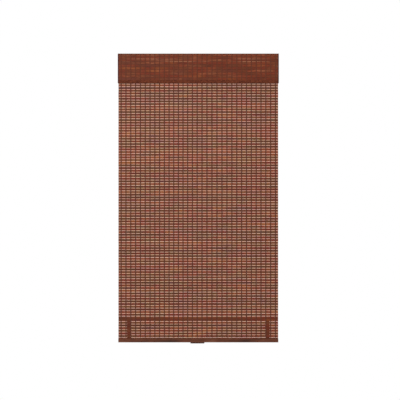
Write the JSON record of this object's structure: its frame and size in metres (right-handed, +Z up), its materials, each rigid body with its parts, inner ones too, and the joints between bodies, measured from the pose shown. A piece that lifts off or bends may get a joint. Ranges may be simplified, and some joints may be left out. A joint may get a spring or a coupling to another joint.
{
  "type": "roman window shade",
  "caption": "Cordless woven bamboo roman shade with a slat valance, wooden bottom rail, pull handle and spring-lift headrail, fully lowered.",
  "frame": {"origin": "centre of the four bracket screw holes, on the brackets' top faces", "axes": "+Z up, +X along the headrail, -Y towards the room, +Y towards the window"},
  "size_m": [0.9064, 0.0666, 1.632],
  "materials": {
    "weave": "stained split bamboo, satin",
    "valance": "stained split bamboo, satin",
    "hem_wood": "dark stained, satin",
    "batten": "dark stained, satin",
    "lining": "plain woven cloth",
    "tape": "woven tape",
    "strip": "hook and loop",
    "rail_paint": "satin white",
    "plated_steel": "zinc plated",
    "spring_steel": "blued",
    "shaft_metal": "drawn",
    "white_plastic": "moulded",
    "grey_plastic": "moulded",
    "ring_plastic": "moulded",
    "cord": "braided",
    "handle": "moulded, dark brown",
    "screw": "bronze tint"
  },
  "bodies": {
    "headrail_unit": {"headrail": "rail_paint", "headrail_cap_left": "white_plastic", "headrail_cap_right": "white_plastic", "panel_strip": "strip", "valance_strip": "strip", "valance_front": "valance", "valance_return_left": "valance", "valance_return_right": "valance", "valance_lining": "lining", "cord_grommets": "white_plastic", "motor_case": "grey_plastic", "motor_lid": "grey_plastic", "spring_band": "spring_steel", "spool_cradle_left": "grey_plastic", "spool_cradle_right": "grey_plastic", "bracket_left": "plated_steel", "bracket_right": "plated_steel", "header_mat": "weave", "ring_set_0": "ring_plastic", "lift_cord_top": "cord", "pleat_mat_1": "weave", "lift_cord_1": "cord"},
    "shaft": {"lift_shaft": "shaft_metal", "spool_left": "white_plastic", "spool_right": "white_plastic", "output_drum": "white_plastic"},
    "spring_store": {"storage_drum": "white_plastic"},
    "lever_left": {"bracket_lever_left": "white_plastic"},
    "lever_right": {"bracket_lever_right": "white_plastic"},
    "hem": {"hem_mat": "weave", "hem_batten": "batten", "hem_tape_left": "tape", "hem_tape_right": "tape", "bottom_rail": "hem_wood", "rail_backing": "hem_wood", "pull_handle": "handle", "handle_screws": "screw", "cord_anchors": "ring_plastic"},
    "row_1": {"ring_slat_1": "weave", "ring_set_1": "ring_plastic", "pleat_mat_2": "weave", "lift_cord_2": "cord"},
    "row_2": {"ring_slat_2": "weave", "ring_set_2": "ring_plastic", "pleat_mat_3": "weave", "lift_cord_3": "cord"},
    "row_3": {"ring_slat_3": "weave", "ring_set_3": "ring_plastic", "pleat_mat_4": "weave", "lift_cord_4": "cord"},
    "row_4": {"ring_slat_4": "weave", "ring_set_4": "ring_plastic", "pleat_mat_5": "weave", "lift_cord_5": "cord"}
  },
  "joints": [
    {"name": "lift_1", "type": "slide", "parent": "headrail_unit", "child": "row_1", "axis": [0, 0, 1], "range_m": [0, 0.21074], "deforming": ["pleat_mat_1", "lift_cord_1"]},
    {"name": "lift_2", "type": "slide", "parent": "row_1", "child": "row_2", "axis": [0, 0, 1], "range_m": [0, 0.21074], "deforming": ["pleat_mat_2", "lift_cord_2"]},
    {"name": "lift_3", "type": "slide", "parent": "row_2", "child": "row_3", "axis": [0, 0, 1], "range_m": [0, 0.21074], "deforming": ["pleat_mat_3", "lift_cord_3"]},
    {"name": "lift_4", "type": "slide", "parent": "row_3", "child": "row_4", "axis": [0, 0, 1], "range_m": [0, 0.21074], "deforming": ["pleat_mat_4", "lift_cord_4"]},
    {"name": "lift_5", "type": "slide", "parent": "row_4", "child": "hem", "axis": [0, 0, 1], "range_m": [0, 0.21074], "deforming": ["pleat_mat_5", "lift_cord_5"]},
    {"name": "shaft_turn", "type": "hinge", "parent": "headrail_unit", "child": "shaft", "pos_m": [0, -0.0102, -0.024], "axis": [-1, 0, 0], "range_deg": [0, 6711]},
    {"name": "storage_turn", "type": "hinge", "parent": "headrail_unit", "child": "spring_store", "pos_m": [0, 0.0105, -0.024], "axis": [1, 0, 0], "range_deg": [0, 6711]},
    {"name": "lever_left_turn", "type": "hinge", "parent": "headrail_unit", "child": "lever_left", "pos_m": [-0.3, 0.004, -0.004], "axis": [0, 0, 1], "range_deg": [0, 90]},
    {"name": "lever_right_turn", "type": "hinge", "parent": "headrail_unit", "child": "lever_right", "pos_m": [0.3, 0.004, -0.004], "axis": [0, 0, -1], "range_deg": [0, 90]}
  ],
  "couplings": [
    {"joint": "lift_2", "follows": "lift_1", "ratio": 1},
    {"joint": "lift_3", "follows": "lift_1", "ratio": 1},
    {"joint": "lift_4", "follows": "lift_1", "ratio": 1},
    {"joint": "lift_5", "follows": "lift_1", "ratio": 1},
    {"joint": "shaft_turn", "follows": "lift_1", "rad_per_m": 555.56},
    {"joint": "storage_turn", "follows": "lift_1", "rad_per_m": 555.56}
  ]
}
